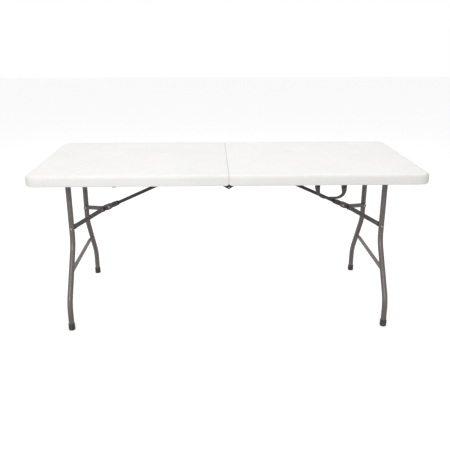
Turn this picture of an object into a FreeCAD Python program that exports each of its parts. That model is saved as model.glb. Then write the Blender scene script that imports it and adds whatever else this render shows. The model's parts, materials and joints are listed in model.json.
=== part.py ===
import FreeCAD, Part
import math
import os

from FreeCAD import Vector

# Folding table, millimetres.  +X runs along the table, -Y is the front, +Z is up and z = 0 is the floor.
# Everything on the right half (x > 0) is drawn once and mirrored for the left half.

# table
TABLE_LENGTH = 1720.0
TABLE_WIDTH = 760.0
TABLE_HEIGHT = 740.0

# moulded top
RIM_HEIGHT = 46.0
RIM_WALL = 14.0
PANEL_THICKNESS = 20.0
CORNER_RADIUS = 50.0
TOP_EDGE_RADIUS = 14.0
BOTTOM_EDGE_RADIUS = 5.0
SEAM_GAP = 1.0
SEAM_RELIEF = 9.0
SKIN = 2.6
CHAMBER_X = (24.0, 836.0)
CHAMBER_Y = (34.0, 312.0)
PILLAR_RADIUS = 9.0
PILLARS_ALONG = 7
PILLARS_ACROSS = 3
VENT_PLACE = (420.0, 200.0)
VENT_RADIUS = 3.0
GROOVE_HALF_WIDTH = 24.0
GROOVE_END = 666.0
GROOVE_DEPTH = 4.0
ANCHOR_POCKET_DEPTH = 8.0

# long rails
RAIL_START = 3.0
RAIL_END = 800.0
RAIL_INNER_Y = 349.0
RAIL_WIDTH = 14.0
RAIL_HEIGHT = 24.0
RAIL_WALL = 1.5
RAIL_SCREW_X = (90.0, 300.0, 560.0, 785.0)
RAIL_SLOT_END = 46.0

# screws
SCREW_RADIUS = 2.0
SCREW_HEAD_RADIUS = 4.5
SCREW_HEAD_HEIGHT = 2.6
SCREW_DEPTH = 11.0
SCREW_PLAY = 0.05

# centre hinge
HINGE_Z = 684.0
HINGE_EYE_RADIUS = 7.5
HINGE_PIN_RADIUS = 3.0
HINGE_HEAD_RADIUS = 4.0
HINGE_HEAD_HEIGHT = 2.0
HINGE_EAR = 4.0
HINGE_EAR_GAP = 0.5
HINGE_EAR_REACH = 44.0
HINGE_EAR_TOE = 42.0

# leg frames
LEG_X = 726.0
LEG_PIVOT_Z = 700.0
LEG_TUBE_RADIUS = 12.5
LEG_TUBE_WALL = 1.5
LEG_UPPER_Y = 170.0
LEG_FOOT_Y = 330.0
LEG_UPPER_BEND_Z = 367.0
LEG_LOWER_BEND_Z = 128.0
LEG_BEND_RADIUS = 140.0
PIVOT_TUBE_RADIUS = 13.0
PIVOT_TUBE_HALF = 338.0
PIVOT_STUB_RADIUS = 8.0
PIVOT_STUB_END = 348.5
PIVOT_PLUG_DEPTH = 22.0
CROSSBAR_Z = 235.0
CROSSBAR_RADIUS = 9.3
CROSSBAR_OFFSET = 9.6
CROSSBAR_TRIM = 9.0
CROSSBAR_BEVEL = 26.0
FOOT_RADIUS = 15.0
FOOT_HEIGHT = 32.0
FOOT_FLOOR = 4.0
BOLT_RADIUS = 4.0
BOLT_HEAD_RADIUS = 6.0
BOLT_HEAD_HEIGHT = 3.0

# leg brackets
BRACKET_PLATE = 4.0
BRACKET_HALF = 24.0
BRACKET_FLANGE_Y = 320.0
BRACKET_FLANGE = 3.0
BRACKET_EYE_RADIUS = 12.0
BRACKET_SCREW_Y = 330.0
BRACKET_SCREW_INSET = 7.0
BRACKET_SHOULDER = 8.0
RUNNING_PLAY = 0.05

# folding brace
BRACE_LEG_Z = 440.0
ANCHOR_X = 80.0
ANCHOR_Z = 716.0
OVER_CENTRE = 0.4
BAR_RADIUS = 8.0
BAR_BORE_RADIUS = 6.3
BAR_SOLID_END = 26.0
BRACE_PIN_RADIUS = 4.0
RIVET_HEAD_HEIGHT = 2.0
HEAD_INNER_Y = 8.6
HEAD_PLATE = 1.6
HEAD_TOP = 14.5
HEAD_SKIRT = 12.0
HEAD_NOSE_TOP = 11.8
HEAD_NOSE_SKIRT = 6.0
HEAD_BACK = 35.0
HEAD_SHOULDER_BACK = 12.0
HEAD_SHOULDER_FRONT = 4.0
HEAD_FRONT = 22.0
KNEE_HEAD_RADIUS = 5.2
ARM_RADIUS = 10.5
ARM_WALL = 1.5
ARM_WIDE_Y = 146.0
ARM_NARROW_Y = 20.7
ARM_BEND_RADIUS = 17.0
ARM_START = 8.0
ARM_WIDE_END = 16.5
ARM_NARROW_START = 118.0
ARM_END = 136.0
TAB_THICKNESS = 6.0
TAB_OUTER_Y = 157.0
TAB_RADIUS = 11.0
TAB_END = 16.0
TAB_RIVET_RADIUS = 6.5
RING_START = 21.0
RING_LENGTH = 30.0
RING_INNER_Y = 10.7
RING_LOW = -8.4
RING_HIGH = 11.3
RING_WALL = 1.5
RING_SHOULDER = 10.0
RING_BAR_PLAY = 0.4

# brace anchor
ANCHOR_EAR_Y = 8.5
ANCHOR_EAR = 3.0
ANCHOR_EYE_RADIUS = 10.0
ANCHOR_BASE_X = 24.0
ANCHOR_BASE_Y = 22.0
ANCHOR_BASE = 3.0
ANCHOR_SCREW_Y = 17.0
ANCHOR_SCREW_INSET = 7.0
ANCHOR_SCREW_DEPTH = 7.0
ANCHOR_PIN_HEAD_RADIUS = 6.5

# carry handle
HANDLE_X = 438.5
HANDLE_HALF_WIDTH = 65.0
HANDLE_POST = 15.5
HANDLE_GRIP = 8.0
HANDLE_THICKNESS = 9.0
HANDLE_OUTER_CORNER = 42.0
HANDLE_INNER_CORNER = 30.0
HANDLE_EDGE_RADIUS = 1.5
HANDLE_BOTTOM_Z = 629.5
HANDLE_PIVOT_Z = 687.0
HANDLE_PIVOT_Y = -356.0
HANDLE_PIN_RADIUS = 2.5
GUSSET_REACH = 34.0
GUSSET_TOP = -7.0
GUSSET_LIP = 7.0
GUSSET_HEIGHT = 44.0
HANDLE_SLOT = 7.0
HANDLE_SLOT_BACK = 8.5
HANDLE_SLOT_LOW = 6.5
LUG_THICKNESS = 6.0
LUG_RADIUS = 5.0
LUG_BASE = 2.0
LUG_BASE_LENGTH = 22.0

# case catch
CATCH_X = 485.0
CATCH_LENGTH = 26.0
CATCH_DROP = 9.0
CATCH_SHEET = 2.0
CATCH_INSET = 5.0

TOP_Z = TABLE_HEIGHT
RIM_Z = TABLE_HEIGHT - RIM_HEIGHT
PANEL_Z = TABLE_HEIGHT - PANEL_THICKNESS
RAIL_Z = PANEL_Z - RAIL_HEIGHT
RAIL_OUTER_Y = RAIL_INNER_Y + RAIL_WIDTH
RAIL_MID_Y = RAIL_INNER_Y + RAIL_WIDTH / 2

X_AXIS = Vector(1, 0, 0)
Y_AXIS = Vector(0, 1, 0)


def brace_points():
    """Leg bolt, anchor and knee of the standing brace, and its two link lengths, in the X-Z plane."""
    bolt = Vector(LEG_X, 0, BRACE_LEG_Z)
    anchor = Vector(ANCHOR_X, 0, ANCHOR_Z)
    stowed_bolt = Vector(LEG_X - (LEG_PIVOT_Z - BRACE_LEG_Z), 0, LEG_PIVOT_Z)
    standing = (bolt - anchor).Length
    total = standing + OVER_CENTRE
    difference = (stowed_bolt - anchor).Length
    bar = (total + difference) / 2
    fork = (total - difference) / 2
    along = (bar ** 2 + standing ** 2 - fork ** 2) / (2 * standing)
    sag = math.sqrt(bar ** 2 - along ** 2)
    line = (bolt - anchor).normalize()
    down = Vector(line.z, 0, -line.x)
    knee = anchor + line * along + down * sag
    return bolt, anchor, knee, bar, fork


def box(x, y, z):
    """Box from three (low, high) ranges."""
    return Part.makeBox(x[1] - x[0], y[1] - y[0], z[1] - z[0], Vector(x[0], y[0], z[0]))


def rod(start, end, radius):
    """Round rod between two points."""
    return Part.makeCylinder(radius, (end - start).Length, start, end - start)


def joined(solids):
    """All the solids fused into one."""
    result = solids[0]
    for other in solids[1:]:
        result = result.fuse(other)
    return result.removeSplitter()


def without(shape, tools):
    """Shape with every tool cut away."""
    for tool in tools:
        shape = shape.cut(tool)
    return shape


def front_and_rear(shape):
    """A piece drawn at the front (y < 0) together with its copy at the rear."""
    return [shape, shape.mirror(Vector(0, 0, 0), Y_AXIS)]


def mirrored(shape):
    """The left-hand copy of a right-hand piece."""
    return shape.mirror(Vector(0, 0, 0), X_AXIS)


def framed(shape, origin, direction):
    """Place a piece drawn along +X at the origin so that it runs along a direction in the X-Z plane."""
    turn = math.degrees(math.atan2(direction.z, direction.x))
    placed = shape.copy()
    placed.rotate(Vector(0, 0, 0), Y_AXIS, -turn)
    placed.translate(origin)
    return placed


def rounded_outline(x, y, near_radius, far_radius, z):
    """Flat rectangle with one corner radius at low x and another at high x."""
    corners = (
        (x[0], y[0], near_radius, 180.0),
        (x[1], y[0], far_radius, 270.0),
        (x[1], y[1], far_radius, 0.0),
        (x[0], y[1], near_radius, 90.0),
    )
    ends = []
    arcs = []
    for cx, cy, radius, angle in corners:
        if radius <= 0:
            point = Vector(cx, cy, z)
            ends.append((point, point))
            arcs.append(None)
            continue
        centre = Vector(
            cx + radius * (1 if cx == x[0] else -1),
            cy + radius * (1 if cy == y[0] else -1),
            z,
        )
        points = []
        for step in (0.0, 45.0, 90.0):
            turn = math.radians(angle + step)
            points.append(centre + Vector(math.cos(turn), math.sin(turn), 0) * radius)
        ends.append((points[0], points[2]))
        arcs.append(Part.Arc(*points).toShape())
    edges = []
    for index, arc in enumerate(arcs):
        if arc:
            edges.append(arc)
        edges.append(Part.makeLine(ends[index][1], ends[(index + 1) % 4][0]))
    return Part.Face(Part.Wire(edges))


def bent_path(points, radius):
    """Wire through the points with every inner corner turned by a round bend."""
    edges = []
    last = points[0]
    for index in range(1, len(points) - 1):
        corner = points[index]
        back = (points[index - 1] - corner).normalize()
        ahead = (points[index + 1] - corner).normalize()
        half = back.getAngle(ahead) / 2
        run = radius / math.tan(half)
        start = corner + back * run
        end = corner + ahead * run
        centre = corner + (back + ahead).normalize() * (radius / math.sin(half))
        middle = centre + (corner - centre).normalize() * radius
        edges.append(Part.makeLine(last, start))
        edges.append(Part.Arc(start, middle, end).toShape())
        last = end
    edges.append(Part.makeLine(last, points[-1]))
    return Part.Wire(edges)


def swept(points, bend, radius):
    """Round bar along a bent path."""
    path = bent_path(points, bend)
    direction = points[1] - points[0]
    profile = Part.Wire(Part.makeCircle(radius, points[0], direction))
    return Part.Solid(path.makePipeShell([profile], True, False))


def plate_xz(wire_points, y):
    """Flat plate with an outline in the X-Z plane, between two y values."""
    points = [Vector(px, y[0], pz) for px, pz in wire_points]
    face = Part.Face(Part.makePolygon(points + points[:1]))
    return face.extrude(Vector(0, y[1] - y[0], 0))


def plate_yz(wire_points, x):
    """Flat plate with an outline in the Y-Z plane, between two x values."""
    points = [Vector(x[0], py, pz) for py, pz in wire_points]
    face = Part.Face(Part.makePolygon(points + points[:1]))
    return face.extrude(Vector(x[1] - x[0], 0, 0))


def domed_head(base, direction, radius, height):
    """Round rivet or bolt head with a softened rim, standing on its base point."""
    head = Part.makeCylinder(radius, height, base, direction)
    rims = [e for e in head.Edges if (e.CenterOfMass - base).dot(direction) > height * 0.9 * direction.Length]
    return head.makeFillet(height * 0.55, rims[:1])


def screw(x, y, z, depth):
    """Pan-head screw seen from below: head under z, shank upwards."""
    head = domed_head(Vector(x, y, z), Vector(0, 0, -1), SCREW_HEAD_RADIUS, SCREW_HEAD_HEIGHT)
    shank = rod(Vector(x, y, z - 0.5), Vector(x, y, z + depth), SCREW_RADIUS)
    return joined([head, shank])


def screw_hole(x, y, z, depth):
    """Hole that a screw of the same depth goes into."""
    radius = SCREW_RADIUS + SCREW_PLAY
    return rod(Vector(x, y, z - 1), Vector(x, y, z + depth + 0.5), radius)


def rail_screws():
    """Places of the rail screws: x and y."""
    return [(x, side * RAIL_MID_Y) for x in RAIL_SCREW_X for side in (-1, 1)]


def bracket_screws():
    """Places of the leg bracket screws: x and y."""
    offset = BRACKET_HALF - BRACKET_SCREW_INSET
    return [(LEG_X + dx, side * BRACKET_SCREW_Y) for dx in (-offset, offset) for side in (-1, 1)]


def anchor_screws():
    """Places of the brace anchor screws: x and y."""
    offset = ANCHOR_BASE_X - ANCHOR_SCREW_INSET
    return [(ANCHOR_X + dx, side * ANCHOR_SCREW_Y) for dx in (-offset, offset) for side in (-1, 1)]


def top_half():
    """Hollow moulded half of the top with its turned-down rim."""
    near = SEAM_GAP / 2
    far = TABLE_LENGTH / 2
    half = TABLE_WIDTH / 2
    top = rounded_outline((near, far), (-half, half), 0, CORNER_RADIUS, RIM_Z)
    top = top.extrude(Vector(0, 0, RIM_HEIGHT))
    top = top.makeFillet(TOP_EDGE_RADIUS, outline_edges(top, TOP_Z))
    top = top.makeFillet(BOTTOM_EDGE_RADIUS, outline_edges(top, RIM_Z))
    recess = rounded_outline(
        (near + RIM_WALL, far - RIM_WALL),
        (-half + RIM_WALL, half - RIM_WALL),
        2.0,
        CORNER_RADIUS - RIM_WALL,
        RIM_Z - 1,
    )
    recess = recess.extrude(Vector(0, 0, PANEL_Z - RIM_Z + 1))
    top = top.cut(recess)
    return without(top, top_cuts(near, far, half)).removeSplitter()


def outline_edges(block, z):
    """Edges of the block's outline at one height, apart from the straight one along the seam."""
    edges = []
    for edge in block.Edges:
        bounds = edge.BoundBox
        level = abs(bounds.ZMin - z) < 0.01 and abs(bounds.ZMax - z) < 0.01
        seam = bounds.XMax < SEAM_GAP
        if level and not seam:
            edges.append(edge)
    return edges


def top_cuts(near, far, half):
    """Everything taken out of the moulded top."""
    cuts = []
    mouth = half - RIM_WALL
    for low, high in ((-mouth, -RAIL_INNER_Y + 8), (RAIL_INNER_Y - 8, mouth)):
        cuts.append(box((0, near + RIM_WALL + 3), (low, high), (RIM_Z - 1, PANEL_Z)))
    for side in (-1, 1):
        relief = plate_xz(
            ((0, RIM_Z - 1), (near + SEAM_RELIEF + 1, RIM_Z - 1), (0, RIM_Z + SEAM_RELIEF)),
            (side * half - 20, side * half + 20),
        )
        cuts.append(relief)
    cuts.append(box((near + RIM_WALL, GROOVE_END), (-GROOVE_HALF_WIDTH, GROOVE_HALF_WIDTH),
                    (PANEL_Z - 1, PANEL_Z + GROOVE_DEPTH)))
    cuts.append(box((ANCHOR_X - ANCHOR_BASE_X - 1, ANCHOR_X + ANCHOR_BASE_X + 1),
                    (-GROOVE_HALF_WIDTH, GROOVE_HALF_WIDTH), (PANEL_Z - 1, PANEL_Z + ANCHOR_POCKET_DEPTH)))
    for side in (-1, 1):
        cuts.append(chamber(side))
        vent = Vector(VENT_PLACE[0], side * VENT_PLACE[1], PANEL_Z - 1)
        cuts.append(rod(vent, vent + Vector(0, 0, SKIN + 2), VENT_RADIUS))
    for x, y in rail_screws():
        cuts.append(screw_hole(x, y, PANEL_Z, SCREW_DEPTH))
    for x, y in bracket_screws():
        cuts.append(screw_hole(x, y, PANEL_Z, SCREW_DEPTH))
    for x, y in anchor_screws():
        cuts.append(screw_hole(x, y, PANEL_Z + ANCHOR_POCKET_DEPTH, ANCHOR_SCREW_DEPTH))
    return cuts


def chamber(side):
    """Air space between the two skins on one side, with the joined pillars left standing in it."""
    low, high = sorted((side * CHAMBER_Y[0], side * CHAMBER_Y[1]))
    space = box(CHAMBER_X, (low, high), (PANEL_Z + SKIN, TOP_Z - SKIN))
    step_x = (CHAMBER_X[1] - CHAMBER_X[0]) / PILLARS_ALONG
    step_y = (high - low) / PILLARS_ACROSS
    for i in range(PILLARS_ALONG):
        for j in range(PILLARS_ACROSS):
            foot = Vector(CHAMBER_X[0] + step_x * (i + 0.5), low + step_y * (j + 0.5), PANEL_Z)
            space = space.cut(rod(foot, foot + Vector(0, 0, PANEL_THICKNESS), PILLAR_RADIUS))
    return space


def rail():
    """Front rectangular rail with its screw holes and the slot that the hinge ears come out of."""
    low = -RAIL_OUTER_Y
    high = -RAIL_INNER_Y
    outer = box((RAIL_START, RAIL_END), (low, high), (RAIL_Z, PANEL_Z))
    inner = box((RAIL_START - 1, RAIL_END + 1), (low + RAIL_WALL, high - RAIL_WALL),
                (RAIL_Z + RAIL_WALL, PANEL_Z - RAIL_WALL))
    slot = box((RAIL_START - 1, RAIL_SLOT_END), (low + RAIL_WALL, high - RAIL_WALL),
               (RAIL_Z - 1, RAIL_Z + RAIL_WALL + 1))
    cuts = [inner, slot]
    for x, y in rail_screws():
        if y < 0:
            cuts.append(screw_hole(x, y, RAIL_Z, RAIL_HEIGHT))
    return without(outer, cuts)


def hinge_ear(y_low, hole):
    """One flat hinge ear: fixed inside the rail end, eye round the centre pin."""
    blade = plate_xz(
        (
            (RAIL_START, RAIL_Z + RAIL_WALL + 1),
            (RAIL_START, PANEL_Z - RAIL_WALL),
            (HINGE_EAR_REACH, PANEL_Z - RAIL_WALL),
            (HINGE_EAR_REACH, RAIL_Z + RAIL_WALL + 1),
            (HINGE_EAR_TOE, RAIL_Z + RAIL_WALL + 1),
            (HINGE_EYE_RADIUS * 0.8, HINGE_Z - HINGE_EYE_RADIUS * 0.6),
            (-HINGE_EYE_RADIUS * 0.6, HINGE_Z + HINGE_EYE_RADIUS * 0.8),
        ),
        (y_low, y_low + HINGE_EAR),
    )
    pin_start = Vector(0, y_low, HINGE_Z)
    eye = rod(pin_start, pin_start + Vector(0, HINGE_EAR, 0), HINGE_EYE_RADIUS)
    bore = rod(pin_start - Y_AXIS, pin_start + Vector(0, HINGE_EAR + 1, 0), hole)
    return without(joined([blade, eye]), [bore])


def hinge_pin(y_low, y_high):
    """Centre pin with a head at each end."""
    start = Vector(0, y_low, HINGE_Z)
    end = Vector(0, y_high, HINGE_Z)
    shank = rod(start, end, HINGE_PIN_RADIUS)
    outer = domed_head(start, Vector(0, -1, 0), HINGE_HEAD_RADIUS, HINGE_HEAD_HEIGHT)
    inner = domed_head(end, Y_AXIS, HINGE_HEAD_RADIUS, HINGE_HEAD_HEIGHT)
    return joined([shank, outer, inner])


def leg_bracket():
    """Front leg bracket: upright plate with the pivot hole and a flange under the panel."""
    plate_y = (-RAIL_INNER_Y, -RAIL_INNER_Y + BRACKET_PLATE)
    x = (LEG_X - BRACKET_HALF, LEG_X + BRACKET_HALF)
    flange = box(x, (plate_y[0], -BRACKET_FLANGE_Y), (PANEL_Z - BRACKET_FLANGE, PANEL_Z))
    upright = plate_xz(
        (
            (x[0], PANEL_Z),
            (x[1], PANEL_Z),
            (x[1], PANEL_Z - BRACKET_SHOULDER),
            (LEG_X + BRACKET_EYE_RADIUS, LEG_PIVOT_Z),
            (LEG_X - BRACKET_EYE_RADIUS, LEG_PIVOT_Z),
            (x[0], PANEL_Z - BRACKET_SHOULDER),
        ),
        plate_y,
    )
    pivot = Vector(LEG_X, plate_y[0], LEG_PIVOT_Z)
    eye = rod(pivot, pivot + Vector(0, BRACKET_PLATE, 0), BRACKET_EYE_RADIUS)
    bore = rod(pivot - Y_AXIS, pivot + Vector(0, BRACKET_PLATE + 1, 0), PIVOT_STUB_RADIUS + RUNNING_PLAY)
    cuts = [bore]
    for px, py in bracket_screws():
        if py < 0:
            cuts.append(screw_hole(px, py, PANEL_Z - BRACKET_FLANGE, BRACKET_FLANGE))
    return without(joined([flange, upright, eye]), cuts)


def brace_anchor():
    """Two-eared anchor for the inner end of the brace bar, in a pocket of the panel."""
    top = PANEL_Z + ANCHOR_POCKET_DEPTH
    base = box((ANCHOR_X - ANCHOR_BASE_X, ANCHOR_X + ANCHOR_BASE_X), (-ANCHOR_BASE_Y, ANCHOR_BASE_Y),
               (top - ANCHOR_BASE, top))
    pieces = [base]
    cuts = []
    for side in (-1, 1):
        y = sorted((side * ANCHOR_EAR_Y, side * (ANCHOR_EAR_Y + ANCHOR_EAR)))
        pieces.append(box((ANCHOR_X - ANCHOR_EYE_RADIUS, ANCHOR_X + ANCHOR_EYE_RADIUS), y, (ANCHOR_Z, top)))
        start = Vector(ANCHOR_X, y[0], ANCHOR_Z)
        end = Vector(ANCHOR_X, y[1], ANCHOR_Z)
        pieces.append(rod(start, end, ANCHOR_EYE_RADIUS))
        cuts.append(rod(start - Y_AXIS, end + Y_AXIS, BRACE_PIN_RADIUS))
    for px, py in anchor_screws():
        cuts.append(screw_hole(px, py, top - ANCHOR_BASE, ANCHOR_BASE))
    return without(joined(pieces), cuts)


def cross_pin(centre, half_length, head_radius):
    """Rivet across the brace with a head at each end."""
    start = centre - Vector(0, half_length, 0)
    end = centre + Vector(0, half_length, 0)
    pieces = [
        rod(start, end, BRACE_PIN_RADIUS),
        domed_head(start, Vector(0, -1, 0), head_radius, RIVET_HEAD_HEIGHT),
        domed_head(end, Y_AXIS, head_radius, RIVET_HEAD_HEIGHT),
    ]
    return joined(pieces)


def leg_path():
    """Centre line of the front leg tube."""
    return [
        Vector(LEG_X, -LEG_UPPER_Y, LEG_PIVOT_Z),
        Vector(LEG_X, -LEG_UPPER_Y, LEG_UPPER_BEND_Z),
        Vector(LEG_X, -LEG_FOOT_Y, LEG_LOWER_BEND_Z),
        Vector(LEG_X, -LEG_FOOT_Y, FOOT_FLOOR),
    ]


def pivot_tube_solid():
    """Solid envelope of the tube that the legs hang from."""
    start = Vector(LEG_X, -PIVOT_TUBE_HALF, LEG_PIVOT_Z)
    return rod(start, start + Vector(0, 2 * PIVOT_TUBE_HALF, 0), PIVOT_TUBE_RADIUS)


def leg_tube():
    """Front leg tube: straight, splayed outwards, straight again, and coped under the pivot tube."""
    outer = swept(leg_path(), LEG_BEND_RADIUS, LEG_TUBE_RADIUS)
    inner = swept(leg_path(), LEG_BEND_RADIUS, LEG_TUBE_RADIUS - LEG_TUBE_WALL)
    through = Vector(LEG_X, -LEG_UPPER_Y - 20, BRACE_LEG_Z)
    bolt_hole = rod(through, through + Vector(0, 40, 0), BOLT_RADIUS)
    return without(outer, [inner, pivot_tube_solid(), bolt_hole])


def pivot_tube():
    """Round tube across the table between the two leg brackets."""
    start = Vector(LEG_X, -PIVOT_TUBE_HALF - 1, LEG_PIVOT_Z)
    end = start + Vector(0, 2 * PIVOT_TUBE_HALF + 2, 0)
    return pivot_tube_solid().cut(rod(start, end, PIVOT_TUBE_RADIUS - LEG_TUBE_WALL))


def pivot_plug():
    """Front end plug of the pivot tube with the stub that turns in the bracket."""
    inside = Vector(LEG_X, -PIVOT_TUBE_HALF + PIVOT_PLUG_DEPTH, LEG_PIVOT_Z)
    face = Vector(LEG_X, -PIVOT_TUBE_HALF, LEG_PIVOT_Z)
    collar = Vector(LEG_X, -PIVOT_TUBE_HALF - 4, LEG_PIVOT_Z)
    tip = Vector(LEG_X, -PIVOT_STUB_END, LEG_PIVOT_Z)
    return joined([
        rod(inside, face, PIVOT_TUBE_RADIUS - LEG_TUBE_WALL),
        rod(face, collar, PIVOT_TUBE_RADIUS - LEG_TUBE_WALL),
        rod(face, tip, PIVOT_STUB_RADIUS),
    ])


def crossbar():
    """Lower tube between the leg tubes, coped against both, its ends cut back on the outboard side."""
    share = (LEG_UPPER_BEND_Z - CROSSBAR_Z) / (LEG_UPPER_BEND_Z - LEG_LOWER_BEND_Z)
    reach = LEG_UPPER_Y + (LEG_FOOT_Y - LEG_UPPER_Y) * share - CROSSBAR_TRIM
    start = Vector(LEG_X + CROSSBAR_OFFSET, -reach, CROSSBAR_Z)
    end = start + Vector(0, 2 * reach, 0)
    tube = rod(start, end, CROSSBAR_RADIUS).cut(rod(start, end, CROSSBAR_RADIUS - LEG_TUBE_WALL))
    legs = front_and_rear(swept(leg_path(), LEG_BEND_RADIUS, LEG_TUBE_RADIUS))
    pieces = without(tube, legs + front_and_rear(crossbar_bevel(reach))).Solids
    return max(pieces, key=lambda solid: solid.Volume)


def crossbar_bevel(reach):
    """Wedge that cuts the front end of the crossbar back on its outboard side."""
    near = LEG_X + CROSSBAR_OFFSET - CROSSBAR_RADIUS
    far = LEG_X + CROSSBAR_OFFSET + CROSSBAR_RADIUS + 1
    low = CROSSBAR_Z - CROSSBAR_RADIUS - 1
    corners = [
        Vector(near, -reach, low),
        Vector(far, -reach + CROSSBAR_BEVEL, low),
        Vector(far, -reach - 1, low),
        Vector(near, -reach - 1, low),
    ]
    wedge = Part.Face(Part.makePolygon(corners + corners[:1]))
    return wedge.extrude(Vector(0, 0, 2 * CROSSBAR_RADIUS + 2))


def foot_cap():
    """Front foot: a cup pushed over the end of the leg tube."""
    base = Vector(LEG_X, -LEG_FOOT_Y, 0)
    cup = Part.makeCylinder(FOOT_RADIUS, FOOT_HEIGHT, base)
    rims = [e for e in cup.Edges if e.Closed]
    cup = cup.makeFillet(1.8, rims)
    socket = rod(base + Vector(0, 0, FOOT_FLOOR), base + Vector(0, 0, FOOT_HEIGHT + 1), LEG_TUBE_RADIUS)
    return cup.cut(socket)


def brace_bolt():
    """Bolt through the front leg tube that carries the fork, head on the outside."""
    inner = Vector(LEG_X, -LEG_UPPER_Y + LEG_TUBE_RADIUS, BRACE_LEG_Z)
    outer = Vector(LEG_X, -LEG_UPPER_Y - LEG_TUBE_RADIUS, BRACE_LEG_Z)
    shank = rod(inner, outer - Vector(0, 0.5, 0), BOLT_RADIUS)
    head = domed_head(outer, Vector(0, -1, 0), BOLT_HEAD_RADIUS, BOLT_HEAD_HEIGHT)
    return joined([shank, head])


def brace_bar(length):
    """Round brace bar along +X from the anchor to the knee, hollow from the anchor end."""
    tube = rod(Vector(0, 0, 0), Vector(length, 0, 0), BAR_RADIUS)
    tail = Part.makeSphere(BAR_RADIUS)
    nose = Part.makeSphere(BAR_RADIUS, Vector(length, 0, 0))
    bore = rod(Vector(-BAR_RADIUS - 1, 0, 0), Vector(length - BAR_SOLID_END, 0, 0), BAR_BORE_RADIUS)
    cuts = [bore]
    for at in (0.0, length):
        cuts.append(rod(Vector(at, -20, 0), Vector(at, 20, 0), BRACE_PIN_RADIUS + RUNNING_PLAY))
    return without(joined([tube, tail, nose]), cuts)


def fork_head(length):
    """Channel round the knee, along +X from the leg bolt, with its web on top and the underside open."""
    back = length - HEAD_BACK
    front = length + HEAD_FRONT
    shoulders = (length - HEAD_SHOULDER_BACK, length + HEAD_SHOULDER_FRONT)
    wide = HEAD_INNER_Y + HEAD_PLATE
    outer = plate_xz(
        (
            (back, -HEAD_NOSE_SKIRT),
            (back, HEAD_NOSE_TOP),
            (shoulders[0], HEAD_TOP),
            (shoulders[1], HEAD_TOP),
            (front, HEAD_NOSE_TOP),
            (front, -HEAD_NOSE_SKIRT),
            (shoulders[1], -HEAD_SKIRT),
            (shoulders[0], -HEAD_SKIRT),
        ),
        (-wide, wide),
    )
    channel = plate_xz(
        (
            (back - 1, -HEAD_SKIRT - 1),
            (back - 1, HEAD_NOSE_TOP - HEAD_PLATE),
            (back, HEAD_NOSE_TOP - HEAD_PLATE),
            (shoulders[0], HEAD_TOP - HEAD_PLATE),
            (shoulders[1], HEAD_TOP - HEAD_PLATE),
            (front, HEAD_NOSE_TOP - HEAD_PLATE),
            (front + 1, HEAD_NOSE_TOP - HEAD_PLATE),
            (front + 1, -HEAD_SKIRT - 1),
        ),
        (-HEAD_INNER_Y, HEAD_INNER_Y),
    )
    pin = rod(Vector(length, -20, 0), Vector(length, 20, 0), BRACE_PIN_RADIUS)
    return without(outer, [channel, pin])


def runs_along(edge):
    """True for an edge of the collar that leads from end to end."""
    bounds = edge.BoundBox
    return bounds.YMax - bounds.YMin < 0.01 and bounds.XMax - bounds.XMin > RING_SHOULDER / 2


def fork_arm():
    """Front fork arm along +X from the leg bolt: a bent tube, its wide end flattened into a tab."""
    path = [
        Vector(ARM_START, -ARM_WIDE_Y, 0),
        Vector(ARM_WIDE_END, -ARM_WIDE_Y, 0),
        Vector(ARM_NARROW_START, -ARM_NARROW_Y, 0),
        Vector(ARM_END, -ARM_NARROW_Y, 0),
    ]
    tube = swept(path, ARM_BEND_RADIUS, ARM_RADIUS)
    slant = (path[2] - path[1]).normalize()
    hollow = [path[1] + slant * ARM_BEND_RADIUS, path[2], path[3]]
    bore = swept(hollow, ARM_BEND_RADIUS, ARM_RADIUS - ARM_WALL)
    tab_y = (-TAB_OUTER_Y, -TAB_OUTER_Y + TAB_THICKNESS)
    eye = rod(Vector(0, tab_y[0], 0), Vector(0, tab_y[1], 0), TAB_RADIUS)
    tab = box((0, TAB_END), tab_y, (-TAB_RADIUS, TAB_RADIUS))
    return joined([eye, tab, tube]).cut(bore)


def fork_rivet():
    """Inner head of the rivet through the front fork tab."""
    base = Vector(0, -TAB_OUTER_Y + TAB_THICKNESS, 0)
    return domed_head(base, Y_AXIS, TAB_RIVET_RADIUS, RIVET_HEAD_HEIGHT)


def lock_ring():
    """Sliding collar that traps the fork head on the bar; its top slopes down to the bar at the far end."""
    wide = RING_INNER_Y + RING_WALL
    outer = ring_profile(0, RING_WALL, wide)
    outer = outer.makeFillet(4.0, [e for e in outer.Edges if runs_along(e)])
    inner = ring_profile(1, 0, RING_INNER_Y)
    inner = inner.makeFillet(1.0, [e for e in inner.Edges if runs_along(e)])
    return outer.cut(inner)


def ring_profile(overrun, wall, wide):
    """Solid with the collar's side outline, made thicker by the wall and longer by the overrun."""
    near = RING_START - overrun
    far = RING_START + RING_LENGTH + overrun
    low = RING_LOW - wall
    shoulder = RING_START + RING_SHOULDER
    return plate_xz(
        (
            (near, low),
            (near, RING_HIGH + wall),
            (shoulder, RING_HIGH + wall),
            (far, BAR_RADIUS + RING_BAR_PLAY + wall),
            (far, low),
        ),
        (-wide, wide),
    )


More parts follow.
